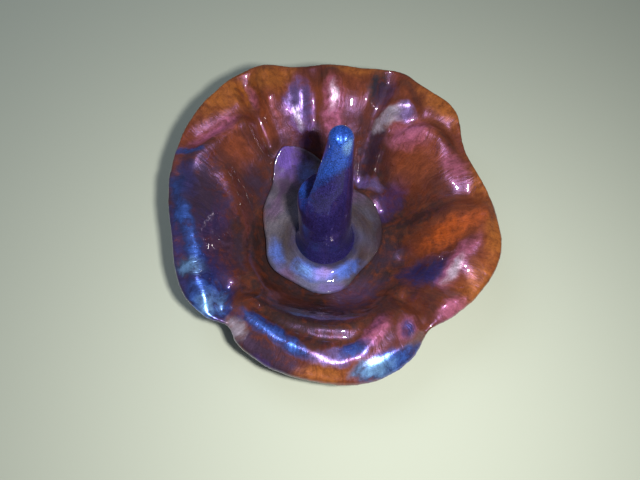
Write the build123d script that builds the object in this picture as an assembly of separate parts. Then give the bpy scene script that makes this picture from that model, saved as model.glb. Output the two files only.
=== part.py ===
from build123d import *
import os
from math import atan2, cos, degrees, exp, hypot, radians, sin, sqrt

os.makedirs("parts", exist_ok=True)

# A flower-shaped ring dish in clear cast resin. Millimetres, +Z up, origin in the middle of the flat foot,
# right under the post. The front petal, which rolls outwards, points along -Y.
# Azimuths are degrees from +X towards +Y.

# ---- Driving dimensions: petal dish ----
rim_reach = 52.0  # mean distance of the rim from the post
rim_height = 24.0  # mean height of the rim above the table
floor_height = 5.0  # top of the dish floor
floor_reach = 19.0  # where the floor starts to rise into the petals
dish_wall = 3.2  # thickness of the floor and the lower petals
rim_wall = 2.2  # thickness at the rim
foot_radius = 23.0  # flat foot that the dish stands on
foot_blend = 17.0  # width over which the underside leaves the table
rim_calm = 4.5  # the folds die out over this width before the rim
edge_round = 0.3  # share of an edge's thickness that its rounding takes

# ---- Driving dimensions: inner whorl ----
whorl_reach = 19.0  # mean distance of its free edge from the post
whorl_height = 9.0  # top of the whorl around the post
whorl_droop = 1.6  # fall from there to the free edge
whorl_edge = 1.6  # thickness of the free edge
whorl_gap = 0.5  # least air between the free edge and the dish
whorl_foot_radius = 12.0  # solid middle that stands in the dish
whorl_foot_lip = 1.2  # the sheet of the whorl starts this far outside its foot
whorl_seat_rim = 0.9  # level ring left around the recess for the post
seat_depth = 1.0  # recess in the dish floor, and in the whorl under the post
seat_clearance = 0.1  # air around each seated foot

# ---- Driving dimensions: post ----
post_base_radius = 8.3
post_flare = 0.9  # the foot of the stem spreads by this much
flare_height = 6.0
post_height = 59.5  # tip above the table
post_side_step = -0.7  # the stem stands this far to the right of the origin
post_lean = 5.4  # the tip leans back by this much
lean_curve = 1.2  # 1 leans evenly, more leans late
shoulder_height = 29.0  # where the stem starts to taper into the finger
finger_tip_radius = 3.5  # radius where the rounded tip starts
finger_side_step = 3.9  # the tip stands this far to the right of the stem's middle
petal_roll = 4.5  # thickness left where the scoop behind the finger is deepest
scoop_radius = 7.0  # of the hollow behind the finger
scoop_azimuth = 145.0  # the hollow is on this side
ledge_height = 32.5  # the scoop starts this high
ledge_curve = 7.5  # height over which its rounded floor turns up into the finger
scoop_end = 53.0  # the scoop has run out of the finger at this height
tip_centre = post_height - finger_tip_radius  # middle of the rounded tip
post_seat_radius = post_base_radius + post_flare + seat_clearance  # recess in the whorl
whorl_level_radius = post_seat_radius + abs(post_side_step) + whorl_seat_rim  # the whorl is level out to here

# ---- How finely the ruled rings follow the folds ----
ring_points = 96
ring_pitch = 1.6  # distance between neighbouring rings
ledge_pitch = 0.75  # distance between the rings where the scoop starts
slope_step = 0.6  # the slope is measured over twice this
steepest_slope = 2.0  # the wall is thickened no further on steeper slopes

# The rim, petal by petal: azimuth, reach and height as shares of the mean ones, then how far inside the
# rim the petal is highest, in mm, and how far it is above the rim there.
RIM = [
    (4, 1.00, 1.00, 7.0, -0.5),
    (23, 0.975, 1.03, 7.0, -1.0),
    (31, 1.00, 1.06, 7.0, -1.0),
    (42, 1.10, 1.18, 9.0, -1.5),
    (54, 1.10, 1.22, 8.0, -1.5),
    (65, 1.13, 1.24, 8.0, -1.5),
    (76, 1.08, 1.25, 6.0, -1.0),
    (90, 1.073, 1.27, 6.0, -1.0),
    (101, 1.08, 1.25, 6.0, -1.0),
    (113, 1.16, 1.25, 9.0, -1.5),
    (137, 1.11, 1.18, 9.0, -1.5),
    (161, 1.01, 1.08, 7.0, -1.0),
    (187, 0.92, 1.00, 5.0, 0.0),
    (209, 0.94, 0.88, 5.0, 0.5),
    (221, 0.90, 0.82, 5.0, 0.5),
    (228, 0.845, 0.76, 7.0, 1.0),
    (235, 0.885, 0.72, 9.0, 2.0),
    (246, 0.91, 0.68, 12.0, 3.0),
    (265, 0.935, 0.66, 14.0, 3.5),
    (285, 0.965, 0.66, 14.0, 3.5),
    (301, 0.93, 0.70, 10.0, 2.5),
    (311, 0.87, 0.76, 6.0, 1.0),
    (320, 0.915, 0.82, 5.0, 0.5),
    (334, 0.985, 0.90, 5.0, 0.5),
    (348, 1.03, 0.95, 6.0, 0.0),
]

# Ridges and creases of the petals: the line that each follows, as azimuth and share of the rim's reach
# there, then its half width and its height in mm. A crease has a negative height.
FOLDS = [
    ([(118, 1.00), (121, 0.80), (122, 0.62)], 2.4, -4.0),
    ([(111, 0.98), (113, 0.78)], 4.0, 1.8),
    ([(106, 0.98), (106, 0.78)], 2.4, -1.2),
    ([(100, 0.98), (101, 0.76)], 3.5, 1.2),
    ([(95, 0.99), (96, 0.72)], 2.6, -2.4),
    ([(88, 0.99), (88, 0.76)], 4.0, 1.8),
    ([(72, 1.00), (70, 0.78)], 3.0, 1.8),
    ([(68, 1.00), (67, 0.68), (64, 0.46)], 3.2, -4.0),
    ([(60, 0.90), (55, 0.83), (62, 0.76)], 3.0, 2.5),
    ([(29, 0.98), (38, 0.90), (48, 0.82), (56, 0.70)], 3.0, -3.0),
    ([(33, 0.90), (41, 0.82), (50, 0.72), (56, 0.62)], 3.6, 2.5),
    ([(30, 0.46), (20, 0.58), (14, 0.74), (11, 0.90)], 4.0, -3.0),
    ([(2, 0.95), (351, 0.87), (341, 0.78), (335, 0.70)], 4.0, 2.6),
    ([(343, 0.50), (333, 0.66), (330, 0.86)], 3.4, -2.5),
    ([(326, 0.96), (318, 0.94), (312, 0.90)], 3.0, 1.6),
    ([(311, 1.00), (314, 0.88), (316, 0.72)], 2.6, -4.0),
    ([(228, 1.00), (221, 0.90), (213, 0.76)], 2.6, -4.5),
    ([(218, 0.90), (213, 0.88)], 3.6, 1.6),
    ([(152, 0.68), (158, 0.60), (176, 0.53), (200, 0.56), (222, 0.58)], 2.6, 2.0),
    ([(125, 0.80), (138, 0.84), (148, 0.94)], 2.8, -2.4),
    ([(129, 0.74), (142, 0.77), (155, 0.87)], 2.8, 2.4),
    ([(168, 0.91), (183, 0.87), (197, 0.83), (205, 0.88)], 3.4, 1.8),
    ([(234, 0.76), (250, 0.74), (265, 0.75), (280, 0.75), (294, 0.70)], 2.2, -1.6),
    ([(231, 0.85), (248, 0.83), (261, 0.84), (272, 0.90), (282, 0.86), (297, 0.74)], 2.4, 1.4),
    ([(286, 0.94), (298, 0.93)], 3.4, 1.2),
]

# The whorl's free edge: azimuth, share of its mean reach, and how far it is lifted above its mean height.
WHORL = [
    (0, 0.98, -0.6),
    (25, 1.08, -0.4),
    (45, 1.16, 0.4),
    (62, 1.14, 1.2),
    (78, 1.24, 2.2),
    (93, 1.50, 3.6),
    (106, 1.72, 5.0),
    (116, 1.80, 5.6),
    (123, 1.70, 4.6),
    (133, 1.44, 3.2),
    (150, 1.30, 1.2),
    (178, 1.08, 0.4),
    (206, 1.09, 0.4),
    (235, 0.97, 0.2),
    (262, 1.00, 0.2),
    (286, 0.96, 0.0),
    (311, 0.82, -0.4),
    (332, 0.85, -0.6),
]


def around(table, azimuth, column):
    """One column of a table of azimuths, eased smoothly from row to row all the way round."""
    count = len(table)
    turned = (azimuth - table[0][0]) % 360
    row = max(i for i in range(count) if (table[i][0] - table[0][0]) % 360 <= turned)
    angles = [table[(row + k) % count][0] - table[0][0] + 360 * ((row + k) // count) for k in (-1, 0, 1, 2)]
    before, start, end, after = (table[(row + k) % count][column] for k in (-1, 0, 1, 2))
    span = angles[2] - angles[1]
    share = (turned - angles[1]) / span
    leaving = (end - before) / (angles[2] - angles[0]) * span
    arriving = (after - start) / (angles[3] - angles[1]) * span
    rise = end - start
    return start + share * (leaving + share * (3 * rise - 2 * leaving - arriving
                                               + share * (leaving + arriving - 2 * rise)))


def eased(share):
    """0 to 1 with a soft start and a soft end."""
    share = min(max(share, 0.0), 1.0)
    return share * share * (3 - 2 * share)


def polar(azimuth, reach):
    return reach * cos(radians(azimuth)), reach * sin(radians(azimuth))


def away_from_line(x, y, line):
    """Distance from a point to a line of short straight runs."""
    nearest = float("inf")
    for (x0, y0), (x1, y1) in zip(line, line[1:]):
        run_x, run_y = x1 - x0, y1 - y0
        along = ((x - x0) * run_x + (y - y0) * run_y) / (run_x * run_x + run_y * run_y)
        along = min(max(along, 0.0), 1.0)
        nearest = min(nearest, hypot(x - x0 - along * run_x, y - y0 - along * run_y))
    return nearest


FOLD_LINES = [
    ([polar(azimuth, share * rim_reach * around(RIM, azimuth, 1)) for azimuth, share in line], width, height)
    for line, width, height in FOLDS
]


def dish_top(x, y):
    """Height of the dish's upper surface."""
    azimuth = degrees(atan2(y, x))
    reach = hypot(x, y)
    rim_at = rim_reach * around(RIM, azimuth, 1)
    rim_z = rim_height * around(RIM, azimuth, 2)
    crest_at = rim_at - around(RIM, azimuth, 3)
    crest_z = rim_z + around(RIM, azimuth, 4)
    height = floor_height + (crest_z - floor_height) * eased((reach - floor_reach) / (crest_at - floor_reach))
    past_crest = max(reach - crest_at, 0.0) / (rim_at - crest_at)
    height -= (crest_z - rim_z) * past_crest ** 2
    calm = eased((rim_at - reach) / rim_calm) * eased(1 + (reach - floor_reach) / ring_pitch)
    for line, width, fold in FOLD_LINES:
        height += calm * fold * exp(-((away_from_line(x, y, line) / width) ** 2))
    return height


def dish_under(x, y):
    """Height of the dish's underside: one wall below the top, blended down to the table at the foot."""
    slope_x = (dish_top(x + slope_step, y) - dish_top(x - slope_step, y)) / (2 * slope_step)
    slope_y = (dish_top(x, y + slope_step) - dish_top(x, y - slope_step)) / (2 * slope_step)
    slope = min(hypot(slope_x, slope_y), steepest_slope)
    reach = hypot(x, y)
    rim_at = rim_reach * around(RIM, degrees(atan2(y, x)), 1)
    wall = rim_wall + (dish_wall - rim_wall) * eased((rim_at - reach) / (rim_at - foot_radius))
    lifted = sin(radians(90 * min(max(reach - foot_radius, 0) / foot_blend, 1)))
    return lifted * (dish_top(x, y) - wall * sqrt(1 + slope * slope))


def whorl_top(x, y):
    """Height of the whorl's upper surface, which never comes too near the dish."""
    azimuth = degrees(atan2(y, x))
    reach = hypot(x, y)
    edge_at = whorl_reach * around(WHORL, azimuth, 1)
    out = eased((reach - whorl_level_radius) / (edge_at - whorl_level_radius))
    height = whorl_height + out * (around(WHORL, azimuth, 2) - whorl_droop)
    lowest = dish_top(x, y) + whorl_gap + whorl_edge
    return height + max(lowest - height, 0)


def whorl_under(x, y):
    """Height of the whorl's underside, level near its foot."""
    level = floor_height + whorl_gap
    sheet = whorl_top(x, y) - whorl_edge
    freed = eased((hypot(x, y) - whorl_foot_radius - whorl_foot_lip) / (2 * ring_pitch))
    return level + freed * (sheet - level)


def ring(reach_at, height_at):
    """A closed curve round the post, at a reach and a height that follow the azimuth."""
    points = []
    for step in range(ring_points):
        azimuth = 360 * step / ring_points
        x, y = polar(azimuth, reach_at(azimuth))
        points.append(Vector(x, y, height_at(x, y)))
    even = [step / ring_points for step in range(ring_points + 1)]
    return Wire([Edge.make_spline(points, periodic=True, parameters=even)])


def shell_rings(inner_radius, table, mean_reach, height_at, edge_inset):
    """Rings from a circle out to just inside the edge that a table of azimuths gives."""
    widest = mean_reach * max(row[1] for row in table)
    count = int((widest - inner_radius) / ring_pitch)

    def reach_for(share):
        return lambda azimuth: inner_radius + share * (
            mean_reach * around(table, azimuth, 1) - edge_inset - inner_radius)

    return [ring(reach_for(step / count), height_at) for step in range(count + 1)]


def rounded_shell(under_radius, top_radius, table, mean_reach, under, top, wall):
    """A solid between an underside and a top surface, with a rounded edge and flat round middles."""
    inset = edge_round * wall
    outward = shell_rings(under_radius, table, mean_reach, under, inset)
    inward = shell_rings(top_radius, table, mean_reach, top, inset)[::-1]
    edge = ring(lambda azimuth: mean_reach * around(table, azimuth, 1), lambda x, y: 0.5 * (under(x, y) + top(x, y)))
    return Solid.make_loft(outward + [edge] + inward, ruled=True)


def disc(radius, bottom, top):
    return Pos(0, 0, bottom) * extrude(Circle(radius), amount=top - bottom)


def build_petal_dish():
    """Ruffled dish of even wall with a flat foot, and a recess that the whorl stands in."""
    body = rounded_shell(foot_radius, floor_reach - ring_pitch, RIM, rim_reach, dish_under, dish_top, rim_wall)
    recess_floor = floor_height - seat_depth
    return body - disc(whorl_foot_radius + seat_clearance, recess_floor, 3 * rim_height)


def build_inner_whorl():
    """Thin ring of petals whose edge stands clear of the dish, on a solid foot, with a recess for the post."""
    body = rounded_shell(
        whorl_foot_radius + whorl_foot_lip, whorl_level_radius, WHORL, whorl_reach, whorl_under, whorl_top, whorl_edge)
    body = body + disc(whorl_foot_radius, floor_height - seat_depth, whorl_height - whorl_edge)
    seat = disc(post_seat_radius, whorl_height - seat_depth, 3 * rim_height)
    return body - Pos(post_side_step, 0, 0) * seat


def post_axis(height):
    """Middle of the post at a height: it leans back, and the finger also steps to the right."""
    risen = max(height - whorl_height, 0) / (tip_centre - whorl_height)
    tapered = eased((height - shoulder_height) / (tip_centre - shoulder_height))
    return post_side_step + finger_side_step * tapered, post_lean * risen ** lean_curve


def post_radius(height):
    """Radius of the unscooped post at a height."""
    tapered = eased((height - shoulder_height) / (tip_centre - shoulder_height))
    stem = post_base_radius + post_flare * (1 - eased((height - whorl_height) / flare_height))
    return stem + (finger_tip_radius - stem) * tapered


def post_circle(height, radius, beside_x=0.0, beside_y=0.0):
    """A level circle beside the post's middle, or on it."""
    x, y = post_axis(height)
    return Pos(x + beside_x, y + beside_y, height) * Circle(radius)


def heights(bottom, top, pitch=ring_pitch):
    """Heights from one to the other, evenly spaced and no further apart than the pitch."""
    count = int((top - bottom) / pitch) + 1
    return [bottom + (top - bottom) * step / count for step in range(count + 1)]


def build_ring_post():
    """Tapering rolled petal: a round stem that opens at the shoulder into a scooped finger with a round tip."""
    foot = whorl_height - seat_depth
    body = loft([post_circle(height, post_radius(height)) for height in heights(foot, tip_centre)], ruled=True)
    tip_x, tip_y = post_axis(tip_centre)
    body = body + Pos(tip_x, tip_y, tip_centre) * Sphere(finger_tip_radius)
    ledge_end = ledge_height + ledge_curve
    scoop = []
    for height in heights(ledge_height, ledge_end, ledge_pitch) + heights(ledge_end, scoop_end)[1:]:
        risen = (height - ledge_height) / (scoop_end - ledge_height)
        below_curve = max(ledge_end - height, 0) / ledge_curve
        thinned = max(risen ** 2, 1 - sqrt(1 - below_curve ** 2))
        wall = petal_roll + (2 * post_radius(height) - petal_roll) * thinned
        away = scoop_radius + wall - post_radius(height)
        scoop.append(post_circle(height, scoop_radius, *polar(scoop_azimuth, away)))
    return body - loft(scoop, ruled=True)


parts = {
    "petal_dish": build_petal_dish(),
    "inner_whorl": build_inner_whorl(),
    "ring_post": build_ring_post(),
}
for name, shape in parts.items():
    export_step(shape, f"parts/{name}.step")
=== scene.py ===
import math

import bmesh
import bpy
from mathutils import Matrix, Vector, noise


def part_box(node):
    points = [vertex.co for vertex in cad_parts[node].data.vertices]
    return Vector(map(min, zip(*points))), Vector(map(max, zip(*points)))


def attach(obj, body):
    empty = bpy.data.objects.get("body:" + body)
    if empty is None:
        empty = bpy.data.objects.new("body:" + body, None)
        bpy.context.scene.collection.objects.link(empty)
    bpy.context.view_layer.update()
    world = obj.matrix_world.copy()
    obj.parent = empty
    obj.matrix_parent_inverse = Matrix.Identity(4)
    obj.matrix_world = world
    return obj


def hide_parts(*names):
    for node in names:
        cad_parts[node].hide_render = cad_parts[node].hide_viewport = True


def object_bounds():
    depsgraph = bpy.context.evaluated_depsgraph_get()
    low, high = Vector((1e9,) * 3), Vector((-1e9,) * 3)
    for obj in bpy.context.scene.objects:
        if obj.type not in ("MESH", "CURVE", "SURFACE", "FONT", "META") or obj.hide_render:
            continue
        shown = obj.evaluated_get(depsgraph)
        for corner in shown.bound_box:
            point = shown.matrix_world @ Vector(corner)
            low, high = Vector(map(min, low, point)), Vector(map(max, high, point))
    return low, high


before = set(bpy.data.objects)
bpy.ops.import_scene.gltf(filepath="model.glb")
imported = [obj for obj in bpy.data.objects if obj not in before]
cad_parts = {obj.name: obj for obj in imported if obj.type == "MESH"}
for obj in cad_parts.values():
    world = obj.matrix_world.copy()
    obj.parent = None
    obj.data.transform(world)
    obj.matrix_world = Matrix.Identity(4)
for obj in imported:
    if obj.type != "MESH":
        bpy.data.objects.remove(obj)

cad_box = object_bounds()


# ---- Table, light and camera -------------------------------------------------------------------------
# The dish stands on a plain matt pale table in a dim even room. One small lamp just right of the eye draws
# its glints and throws its shadow to the left, and it is seen from in front and high above.
mm = 0.001
camera_elevation = math.radians(64)
camera_distance = 187 * mm
aim = Vector((-2.2, 1.1, 5.0)) * mm


def linear(colour):
    """An sRGB hex colour as the linear colour that lights and shaders take."""
    channels = [int(colour[i:i + 2], 16) / 255 for i in (1, 3, 5)]
    return [c / 12.92 if c <= 0.04045 else ((c + 0.055) / 1.055) ** 2.4 for c in channels] + [1.0]


def add(tree, kind, inputs, **settings):
    """Adds one shader node with its settings, and gives each input a value or a link."""
    node = tree.nodes.new("ShaderNode" + kind)
    for name, value in settings.items():
        setattr(node, name, value)
    for name, value in inputs.items():
        if isinstance(value, bpy.types.NodeSocket):
            tree.links.new(value, node.inputs[name])
        else:
            node.inputs[name].default_value = value
    return node


def lamp(name, place, size, watts, colour, glints):
    """A square soft lamp turned towards the dish, which may be too soft to show in the gloss."""
    light = bpy.data.lights.new(name, "AREA")
    light.size = size
    light.energy = watts
    light.color = linear(colour)[:3]
    holder = bpy.data.objects.new(name, light)
    holder.location = place
    holder.visible_glossy = glints
    holder.rotation_euler = (aim - place).to_track_quat("-Z", "Y").to_euler()
    bpy.context.scene.collection.objects.link(holder)


to_camera = Vector((0, -math.cos(camera_elevation), math.sin(camera_elevation)))
camera = bpy.data.objects.new("camera", bpy.data.cameras.new("camera"))
camera.data.sensor_width = 36
camera.data.lens = 31.2  # a wide view, as of a small camera held close
camera.data.clip_start = 10 * mm
camera.location = aim + to_camera * camera_distance
camera.rotation_euler = (-to_camera).to_track_quat("-Z", "Y").to_euler()
bpy.context.scene.collection.objects.link(camera)
bpy.context.scene.camera = camera
bpy.context.scene.view_settings.view_transform = "Standard"

beside_camera = Vector((30, 0, 0)) * mm
above_left = Vector((-160, 160, 400)) * mm
lamp("key", camera.location + beside_camera, 14 * mm, 0.42, "#fff9f0", True)
lamp("ceiling", above_left, 240 * mm, 0.4, "#e4ecff", False)
room = bpy.data.worlds.new("room")
room.use_nodes = True
# The gloss and the table see dim walls, but the eye sees a backdrop as light as the table.
dim_walls = room.node_tree.nodes["Background"]
dim_walls.inputs["Color"].default_value = linear("#d2dadc")
dim_walls.inputs["Strength"].default_value = 0.14
backdrop = add(room.node_tree, "Background", {"Color": linear("#aeb4ac"), "Strength": 1.0})
seen = add(room.node_tree, "LightPath", {}).outputs["Is Camera Ray"]
walls = add(room.node_tree, "MixShader", {0: seen, 1: dim_walls.outputs[0], 2: backdrop.outputs[0]})
room.node_tree.links.new(walls.outputs[0], room.node_tree.nodes["World Output"].inputs["Surface"])
bpy.context.scene.world = room

# Pale painted board, quite matt.
matt_board = bpy.data.materials.new("matt_board")
matt_board.use_nodes = True
paint = matt_board.node_tree.nodes["Principled BSDF"]
paint.inputs["Base Color"].default_value = linear("#bfc8bb")
paint.inputs["Roughness"].default_value = 0.95
table_half = 900 * mm
under_dish = 0.02 * mm
top = bmesh.new()
bmesh.ops.create_grid(top, x_segments=1, y_segments=1, size=table_half)
bmesh.ops.translate(top, verts=top.verts, vec=(0, 0, cad_box[0].z - under_dish))
table = bpy.data.objects.new("table", bpy.data.meshes.new("table"))
top.to_mesh(table.data)
top.free()
table.data.materials.append(matt_board)
bpy.context.scene.collection.objects.link(table)


# ---- Petal dish --------------------------------------------------------------------------------------
# The flower-shaped dish is one casting of clear resin, poured in several tints that ran into each other.
# The mould and the last thin flood coat leave its folds and its rim soft and fluid, with a wet gloss.
def cast(node, name, grain, passes, ripple, ripple_length):
    """The casting of one CAD node: an even fine skin, relaxed until its edges are soft, with slow ripples.

    The grain is the skin's spacing and the passes relax it. Each ripple is as high as it says, over its
    length, and has a smaller one on it. What stands on the foot's level stays flat."""
    weld = 0.002 * mm
    shell = bmesh.new()
    shell.from_mesh(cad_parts[node].data)
    bmesh.ops.remove_doubles(shell, verts=shell.verts, dist=weld)
    piece = bpy.data.objects.new(name, bpy.data.meshes.new(name))
    shell.to_mesh(piece.data)
    shell.free()
    bpy.context.scene.collection.objects.link(piece)
    even = piece.modifiers.new("even_skin", "REMESH")
    even.mode = "VOXEL"
    even.voxel_size = grain
    relaxed = piece.modifiers.new("relaxed", "SMOOTH")
    relaxed.factor = 0.5
    relaxed.iterations = passes
    skin = bpy.data.meshes.new_from_object(piece.evaluated_get(bpy.context.evaluated_depsgraph_get()))
    piece.modifiers.clear()
    piece.data = skin
    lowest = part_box(node)[0].z
    small_length = 0.35 * ripple_length
    small_height = 0.3
    shell = bmesh.new()
    shell.from_mesh(skin)
    shell.normal_update()
    for vertex in shell.verts:
        wave = noise.noise(vertex.co / ripple_length) + small_height * noise.noise(vertex.co / small_length)
        height = vertex.co.z
        vertex.co += vertex.normal * wave * ripple
        if height - lowest < grain:
            vertex.co.z = lowest
    for face in shell.faces:
        face.smooth = True
    shell.to_mesh(skin)
    shell.free()
    return piece


# What each tint of shimmering mica pigment looks like in the clear resin; three of them are painted light,
# marked below.
tints = {
    "amber": "#9a5a22",
    "ember": "#80401f",
    "flame": "#a04c1c",
    "rust": "#5c2e20",
    "brown": "#32231f",
    "plum": "#392a3c",
    "ink": "#20285a",
    "indigo": "#3c3c7c",
    "night": "#2b2560",
    "cobalt": "#3058c0",
    "blue": "#4c76de",
    # painted glint: the palest blue marks where blue and violet petals shine
    "painted_blue_glint": "#88bafa",
    "violet": "#5e479e",
    "lilac": "#9c86d2",
    # painted sheen: the pink marks where the amber petals shine pink
    "painted_pink_sheen": "#ae6286",
    # painted glints on the crests, and also one clear pale spot in the resin
    "pale_spot_and_glint": "#cfc4dc",
    "teal": "#22303c",
    "clear": "#675f5e",
    "grey": "#575970",
    "olive": "#453a31",
    "mauve": "#60466a",
}


def polar(azimuth, reach):
    """A place on the table, from degrees round from +X and millimetres from the middle."""
    return reach * mm * math.cos(math.radians(azimuth)), reach * mm * math.sin(math.radians(azimuth))


def pour(tint, azimuth, reach, length, width, direction, strength, height=0, half_height=1000, edge=0.85):
    """One pour of tinted resin, or one painted glint, sheen or shade: an oval fading over the share of it
    that edge says.

    Its middle is at an azimuth, a reach and a height, it is half as long and wide as given, and its length
    lies in a direction, in degrees and millimetres. Without a height it goes right through the casting."""
    return {"tint": linear(tints[tint]), "middle": (*polar(azimuth, reach), height * mm),
            "turn": (0, 0, math.radians(direction)), "strength": strength, "edge": edge,
            "half_size": (length * mm, width * mm, half_height * mm)}


def pearl_resin(name, body, pours, run, glitter, most_mica, least_rough):
    """Clear cast polyester or epoxy resin with shimmering mica, glossy as poured; some pours are painted
    light.

    Two tints make up its body, and the pours lie over them. The mica shines dully where it is brown and
    as metal where it is blue or violet, under a clear skin with small sharp glints. The tints have run
    by so many millimetres, and the glitter is how far single flakes are lighter or darker."""
    material = bpy.data.materials.new(name)
    material.use_nodes = True
    tree = material.node_tree
    place = add(tree, "TexCoord", {}).outputs["Object"]

    # The tints were drawn about as they ran: slow swirls of 12 mm and small ones of 3 mm.
    for swirl, reach in ((12, 0.5 * run), (3, 0.16 * run)):
        eddy = add(tree, "TexNoise", {"Vector": place, "Scale": 1 / (swirl * mm), "Detail": 2.0})
        centred = add(tree, "VectorMath", {0: eddy.outputs["Color"], 1: (0.5, 0.5, 0.5)},
                      operation="SUBTRACT")
        place = add(tree, "VectorMath", {0: centred.outputs[0], 1: (reach * mm,) * 3, 2: place},
                    operation="MULTIPLY_ADD").outputs[0]

    # A fine mottle of 2.6 mm tears the edges of the pours.
    mottle = add(tree, "TexNoise", {"Vector": place, "Scale": 1 / (2.6 * mm), "Detail": 6.0,
                                    "Roughness": 0.62}).outputs["Fac"]
    ragged = add(tree, "MapRange", {"Value": mottle, "From Min": 0.3, "From Max": 0.7, "To Min": 0.45,
                                    "To Max": 1.55}).outputs[0]

    # The two tints of the body lie in clouds of 14 mm, with every pour over them in turn.
    cloud = add(tree, "TexNoise", {"Vector": place, "Scale": 1 / (14 * mm), "Detail": 3.0})
    patchy = add(tree, "MapRange", {"Value": cloud.outputs["Fac"], "From Min": 0.38, "From Max": 0.62})
    colour = add(tree, "Mix", {0: patchy.outputs[0], 6: linear(tints[body[0]]), 7: linear(tints[body[1]])},
                 data_type="RGBA").outputs[2]
    for one in pours:
        oval = add(tree, "Mapping", {"Vector": place, "Location": one["middle"], "Rotation": one["turn"],
                                     "Scale": one["half_size"]}, vector_type="TEXTURE")
        ball = add(tree, "TexGradient", {"Vector": oval.outputs[0]}, gradient_type="SPHERICAL")
        torn = add(tree, "Math", {0: ball.outputs["Fac"], 1: ragged}, operation="MULTIPLY")
        soft = add(tree, "MapRange", {"Value": torn.outputs[0], "From Max": one["edge"],
                                      "To Max": one["strength"]}, interpolation_type="SMOOTHSTEP")
        colour = add(tree, "Mix", {0: soft.outputs[0], 6: colour, 7: one["tint"]},
                     data_type="RGBA").outputs[2]

    # The mica combs out in fine streaks along the flow: round the floor, and outwards over the petals. They
    # are so many millimetres wide round the dish, measured at the petals' reach, and so many long outwards.
    petal_reach = 40
    flat = add(tree, "VectorMath", {0: place, 1: (1, 1, 0)}, operation="MULTIPLY").outputs[0]
    reach = add(tree, "VectorMath", {0: flat}, operation="LENGTH").outputs["Value"]
    heading = add(tree, "VectorMath", {0: flat}, operation="NORMALIZE").outputs[0]
    streaks = []
    for across, along in ((0.7, 9.0), (26.0, 0.9)):
        round_it = add(tree, "VectorMath", {0: heading, "Scale": petal_reach / across},
                       operation="SCALE").outputs[0]
        outwards = add(tree, "Math", {0: reach, 1: 1 / (along * mm)}, operation="MULTIPLY").outputs[0]
        lift = add(tree, "CombineXYZ", {"Z": outwards}).outputs[0]
        combed = add(tree, "VectorMath", {0: round_it, 1: lift}, operation="ADD").outputs[0]
        comb = add(tree, "TexNoise", {"Vector": combed, "Scale": 1.0, "Detail": 3.0, "Roughness": 0.65})
        streaks.append(comb.outputs["Fac"])
    on_petals = add(tree, "MapRange", {"Value": reach, "From Min": 24 * mm, "From Max": 34 * mm}).outputs[0]
    streak = add(tree, "Mix", {0: on_petals, 2: streaks[1], 3: streaks[0]}, data_type="FLOAT").outputs[0]
    # Real flakes are a few hundredths of a millimetre, so they are drawn ten times coarser to show.
    flake = add(tree, "TexNoise", {"Vector": place, "Scale": 1 / (0.32 * mm), "Detail": 2.0,
                                   "Roughness": 0.8}).outputs["Fac"]
    shade = colour
    for pattern, low, high in ((streak, 0.78, 1.22), (mottle, 0.8, 1.2), (flake, 1 - glitter, 1 + glitter)):
        gain = add(tree, "MapRange", {"Value": pattern, "From Min": 0.3, "From Max": 0.7,
                                      "To Min": low, "To Max": high}).outputs[0]
        shade = add(tree, "VectorMath", {0: shade, "Scale": gain}, operation="SCALE").outputs[0]

    # The bluer the tint, the more of it is bare mica, which shines as a metal does. The streaks and
    # the flakes also stand up a little under the clear skin.
    channels = add(tree, "SeparateColor", {"Color": colour})
    bluer = add(tree, "Math", {0: channels.outputs["Red"], 1: -0.8, 2: channels.outputs["Blue"]},
                operation="MULTIPLY_ADD").outputs[0]
    mica = add(tree, "MapRange", {"Value": bluer, "From Min": -0.05, "From Max": 0.22,
                                  "To Min": 0.12, "To Max": most_mica}).outputs[0]
    dull = add(tree, "MapRange", {"Value": mottle, "From Min": 0.3, "From Max": 0.7,
                                  "To Min": least_rough, "To Max": least_rough + 0.16}).outputs[0]
    grain = add(tree, "Bump", {"Height": flake, "Distance": 0.06 * mm, "Strength": 0.6}).outputs[0]
    bump = add(tree, "Bump", {"Height": streak, "Distance": 0.14 * mm, "Normal": grain}).outputs[0]
    shader = tree.nodes["Principled BSDF"]
    shader.inputs["IOR"].default_value = 1.6
    shader.inputs["Specular Tint"].default_value = linear("#b4a0ff")
    shader.inputs["Coat Weight"].default_value = 1.0
    shader.inputs["Coat Roughness"].default_value = 0.035
    shader.inputs["Coat IOR"].default_value = 1.5
    tree.links.new(shade, shader.inputs["Base Color"])
    tree.links.new(mica, shader.inputs["Metallic"])
    tree.links.new(dull, shader.inputs["Roughness"])
    tree.links.new(bump, shader.inputs["Normal"])
    return material


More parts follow.
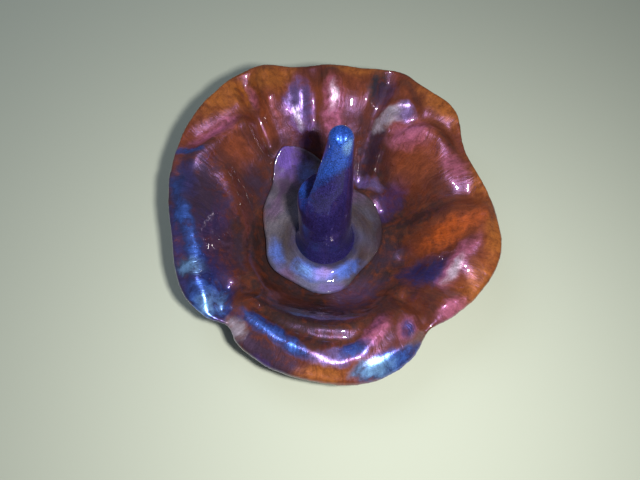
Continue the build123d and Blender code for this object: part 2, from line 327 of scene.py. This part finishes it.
dish_pours = [
    # the dark floor and walls, their darkness partly painted shade in the hollow, with rusty lines round
    # them
    pour("brown", 0, 0, 60, 60, 0, 1.0),
    pour("brown", 255, 31, 26, 13, 160, 0.9),
    pour("mauve", 297, 21, 14, 7, 25, 0.5),
    pour("rust", 243, 24, 12, 3, 150, 0.5),
    pour("brown", 185, 27, 14, 6, 95, 0.8),
    pour("rust", 159, 32, 7, 2, 100, 0.8),
    pour("rust", 172, 27, 12, 2, 95, 0.8),
    pour("rust", 206, 26, 8, 2, 120, 0.7),
    # the amber rim, from the right front round the back to the left
    pour("amber", 333, 50, 11, 8, 60, 0.9),
    pour("amber", 352, 52, 14, 6, 85, 0.9),
    pour("amber", 15, 51, 14, 6, 105, 0.8),
    pour("amber", 46, 57, 18, 9, 135, 0.9),
    pour("amber", 79, 57, 15, 7, 172, 0.9),
    pour("amber", 110, 54, 12, 9, 20, 0.85),
    pour("amber", 128, 55, 19, 9, 36, 0.95),
    # the bright orange petals inside it, on the right, partly painted light on faces turned to the lamp,
    # and the dark valley beside them, partly painted shade
    pour("ember", 355, 38, 16, 9, 15, 1.0),
    pour("flame", 356, 39, 13, 6, 18, 1.0),
    pour("ember", 84, 46, 14, 8, 0, 0.5),
    pour("ember", 38, 38, 14, 12, 120, 0.5),
    pour("brown", 10, 30, 13, 4, 12, 0.85),
    # the back petals: lilac, lilac-white and pink ovals that are partly or wholly painted sheen and glints,
    # and dark teal and plum in the valleys that are partly painted shade
    pour("violet", 102, 43, 12, 6.5, 103, 0.7),
    pour("lilac", 102, 44, 9, 5.5, 103, 0.7),
    pour("pale_spot_and_glint", 103, 39.5, 4, 2, 103, 0.6),
    pour("painted_pink_sheen", 87, 42, 10, 5, 90, 0.8),
    pour("pale_spot_and_glint", 87, 44, 5, 2.2, 85, 0.55),
    pour("rust", 79, 42, 9, 4, 78, 0.8),
    pour("teal", 69, 51, 9, 5, 65, 0.9),
    pour("plum", 64, 35, 14, 5, 62, 0.85),
    pour("mauve", 66, 50, 8, 5, 65, 0.6),
    pour("pale_spot_and_glint", 61, 42.5, 6, 3, 10, 1.0),
    pour("lilac", 56, 45.5, 5, 3, 150, 0.8),
    pour("painted_pink_sheen", 48, 41.5, 9, 6, 170, 0.75),
    pour("painted_pink_sheen", 24, 44.5, 9, 5, 110, 0.5),
    pour("painted_pink_sheen", 119, 52, 7, 2.5, 100, 0.6),
    pour("ember", 138, 40, 10, 7, 130, 0.8),
    pour("ember", 117, 44, 9, 7, 115, 0.8),
    pour("painted_pink_sheen", 141, 47.5, 13, 4.5, 35, 0.95),
    # the right front: pink and lilac-white ovals on the crests are painted sheen and glints, and the indigo
    # in the valley is partly painted shade
    pour("indigo", 334, 34, 10, 7, 0, 0.8),
    pour("painted_pink_sheen", 340, 41.5, 11, 4, 50, 0.7),
    pour("pale_spot_and_glint", 337, 41.5, 6, 2.4, 50, 0.7),
    pour("painted_pink_sheen", 322, 46, 8, 4, 35, 0.6),
    pour("painted_pink_sheen", 303.5, 41, 5, 5, 0, 0.5),
    pour("ink", 303.5, 41, 3.4, 3.4, 0, 1.0),
    pour("clear", 304, 45.5, 7, 4, 20, 0.5),
    # the front petal: its blue bands along the crest, the pink oval and the palest blue are partly painted
    # sheen and glints
    pour("plum", 247, 46, 20, 7, 150, 0.95),
    pour("violet", 244, 48.5, 14, 3, 155, 0.5),
    pour("blue", 239, 38.5, 10, 3.6, 155, 0.9),
    pour("blue", 254, 39.5, 10, 3.2, 148, 0.95),
    pour("amber", 268, 46.5, 11, 4, 0, 0.9),
    pour("lilac", 271, 42, 9, 3.4, 0, 0.9),
    pour("blue", 281, 41, 7, 3, 38, 0.8),
    pour("painted_pink_sheen", 291, 37, 8, 3.4, 50, 0.8),
    pour("indigo", 293, 49, 15, 6, 20, 0.95),
    pour("blue", 292, 46.5, 13, 4.5, 20, 0.95),
    pour("painted_blue_glint", 286, 47, 9, 4, 15, 1.0),
    # the left side: the blue streaks and the palest blue along its crests are partly painted sheen and
    # glints, and the lilac-white oval at its front is a clear pale spot
    pour("plum", 212, 46, 22, 16, 120, 1.0),
    pour("indigo", 205, 42, 18, 12, 105, 0.8),
    pour("indigo", 178, 38, 14, 9, 90, 0.9),
    pour("plum", 172, 44, 24, 15, 85, 1.0),
    pour("indigo", 188, 47, 16, 5, 95, 0.7),
    pour("blue", 153, 49.5, 7, 2.2, 5, 0.95),
    pour("blue", 168, 47, 7, 4, 90, 0.75),
    pour("blue", 181, 43.5, 8, 3.2, 115, 0.9),
    pour("blue", 194, 41, 9, 3.4, 105, 0.9),
    pour("painted_blue_glint", 202, 44, 6, 3.6, 0, 0.8),
    pour("blue", 217, 43.5, 10, 8, 100, 0.95),
    pour("painted_blue_glint", 218, 42.5, 7, 5, 60, 0.8),
    pour("pale_spot_and_glint", 232, 43, 6, 2.4, 125, 0.6),
    pour("plum", 192, 32, 12, 8, 90, 0.8),
    pour("plum", 143, 30, 9, 6, 120, 0.7),
    pour("plum", 163, 42, 14, 9, 80, 0.95),
    pour("indigo", 165, 45, 10, 4, 95, 0.5),
    # right of the post, where the lilac streak is partly painted sheen on a lit ridge
    pour("violet", 34, 25, 10, 6, 40, 0.3),
    pour("ember", 37, 38, 12, 9, 40, 0.5),
    pour("lilac", 57, 26, 7, 2.4, 140, 0.75),
    pour("plum", 345, 22, 9, 7, 0, 0.5),
]
dish = cast("petal_dish", "dish_casting", 0.6 * mm, 6, 0.18 * mm, 5 * mm)
dish_resin = pearl_resin("amber_pearl_resin", ("rust", "ember"), dish_pours, 12, 0.25, 0.72, 0.26)
dish.data.materials.append(dish_resin)
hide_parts("petal_dish")
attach(dish, "root")


# ---- Inner whorl -------------------------------------------------------------------------------------
# A second, smaller ring of petals stands in the dish on a solid foot. It is cast thinner and paler, in
# greyish clear resin with lilac and blue mica, and is bonded down with the same resin.
whorl_pours = [
    # all round the post, darkest beside it, where the darkening is painted shade at its foot
    pour("clear", 160, 18, 16, 9, 80, 0.6),
    pour("grey", 262, 16, 14, 7, 0, 0.9),
    pour("olive", 0, 0, 17, 17, 0, 0.9),
    pour("brown", 5, 19, 18, 7, 95, 0.95),
    pour("olive", 185, 13, 10, 6, 90, 0.85),
    pour("ink", 0, 0, 16, 16, 0, 0.95),
    # the tall back lobe, with painted shade in the crease at its foot
    pour("mauve", 116, 29, 13, 11, 110, 0.9),
    pour("violet", 116, 31, 8, 7, 110, 0.85),
    pour("plum", 128, 24, 9, 2, 75, 0.9),
    pour("blue", 105, 24, 7, 5, 110, 0.5),
    pour("mauve", 148, 21, 7, 4, 60, 0.6),
    # the left, and the blue roll round the front, whose blue and lilac are partly painted sheen and whose
    # palest spot is a painted glint
    pour("blue", 198, 17, 8, 3.4, 105, 0.55),
    pour("mauve", 225, 18, 9, 3, 130, 0.6),
    pour("blue", 246, 13, 9, 3.4, 160, 0.65),
    pour("painted_blue_glint", 240, 13.5, 5, 2, 155, 0.35),
    pour("lilac", 266, 12.5, 6, 3, 0, 0.6),
    pour("blue", 300, 13, 9, 3.4, 30, 0.65),
    pour("violet", 275, 17.5, 9, 3, 0, 0.4),
    # the edges, painted darker as shade where they pass into the dark floor, and the back right
    pour("olive", 30, 13, 9, 5, 120, 0.8),
    pour("brown", 358, 20, 16, 4.5, 88, 1.0),
    pour("rust", 165, 23, 10, 2.4, 80, 0.6),
    pour("mauve", 62, 19, 8, 5, 150, 0.6),
]
whorl = cast("inner_whorl", "whorl_casting", 0.34 * mm, 8, 0.12 * mm, 4 * mm)
# The resin rises in a soft roll round the post, and only its upper face does.
roll_reach = 11.5 * mm
roll_width = 2.6 * mm
roll_rise = 0.9 * mm
underside_top = 7 * mm
blend_height = 1.5 * mm
for vertex in whorl.data.vertices:
    beside = math.hypot(vertex.co.x, vertex.co.y) - roll_reach
    upper = min(max((vertex.co.z - underside_top) / blend_height, 0), 1)
    vertex.co.z += roll_rise * math.exp(-(beside / roll_width) ** 2) * upper
whorl_resin = pearl_resin("grey_pearl_resin", ("grey", "olive"), whorl_pours, 8, 0.34, 0.3, 0.5)
whorl.data.materials.append(whorl_resin)
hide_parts("inner_whorl")
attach(whorl, "root")


# ---- Ring post ---------------------------------------------------------------------------------------
# The post is a rolled petal cast in the darkest tint: violet indigo in the stem, and thick with bright
# blue mica over the scooped finger. The finger's brighter blue is partly painted sheen where it turns up to
# the light, and the darker stem partly painted shade. It stands in a seat in the whorl, and rings are
# dropped over it.
post_pours = [
    # the dark foot and stem are partly painted shade, the cobalt finger partly painted sheen, and the tip's
    # palest blue is a painted glint
    pour("ink", 0, 0, 60, 60, 0, 0.8, height=20, half_height=60),
    pour("plum", 300, 8, 8, 8, 0, 0.6, height=14, half_height=8),
    pour("cobalt", 60, 4, 40, 40, 0, 1.0, height=62, half_height=34, edge=0.1),
    pour("night", 346, 8.2, 17.3, 40, 0, 1.0, height=22, half_height=29.5, edge=0.12),
    pour("painted_blue_glint", 30, 5.4, 1.8, 3, 0, 0.7, height=56, half_height=4),
]
post = cast("ring_post", "post_casting", 0.3 * mm, 10, 0.1 * mm, 5 * mm)
# A fillet of resin spreads its foot where it comes out of its seat.
fillet_spread = 0.8 * mm
fillet_height = 4 * mm
seat_depth = 1 * mm
fillet_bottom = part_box("ring_post")[0].z + seat_depth
for vertex in post.data.vertices:
    risen = min(max((vertex.co.z - fillet_bottom) / fillet_height, 0), 1)
    outward = Vector((vertex.co.x, vertex.co.y, 0)).normalized()
    vertex.co += outward * fillet_spread * (1 - risen) ** 3
# The tip is pinched into two ridges with a shallow groove along the finger between them.
top_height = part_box("ring_post")[1].z
groove_x = 3.2 * mm  # the middle of the tip
groove_width = 0.9 * mm
groove_depth = 0.5 * mm
groove_length = 8 * mm
facing = [max(vertex.normal.dot(to_camera), 0) for vertex in post.data.vertices]
for vertex, faces_eye in zip(post.data.vertices, facing):
    along = min(max(1 - (top_height - vertex.co.z) / groove_length, 0), 1)
    beside = (vertex.co.x - groove_x) / groove_width
    vertex.co -= to_camera * groove_depth * math.exp(-beside ** 2) * faces_eye * along
post_resin = pearl_resin("indigo_pearl_resin", ("ink", "plum"), post_pours, 5, 0.9, 0.6, 0.3)
# The upright stem mirrors the pale table less than it would under the dish's thick flood coat.
post_shader = post_resin.node_tree.nodes["Principled BSDF"]
post_shader.inputs["IOR"].default_value = 1.35
post_shader.inputs["Coat IOR"].default_value = 1.3
post.data.materials.append(post_resin)
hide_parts("ring_post")
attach(post, "root")
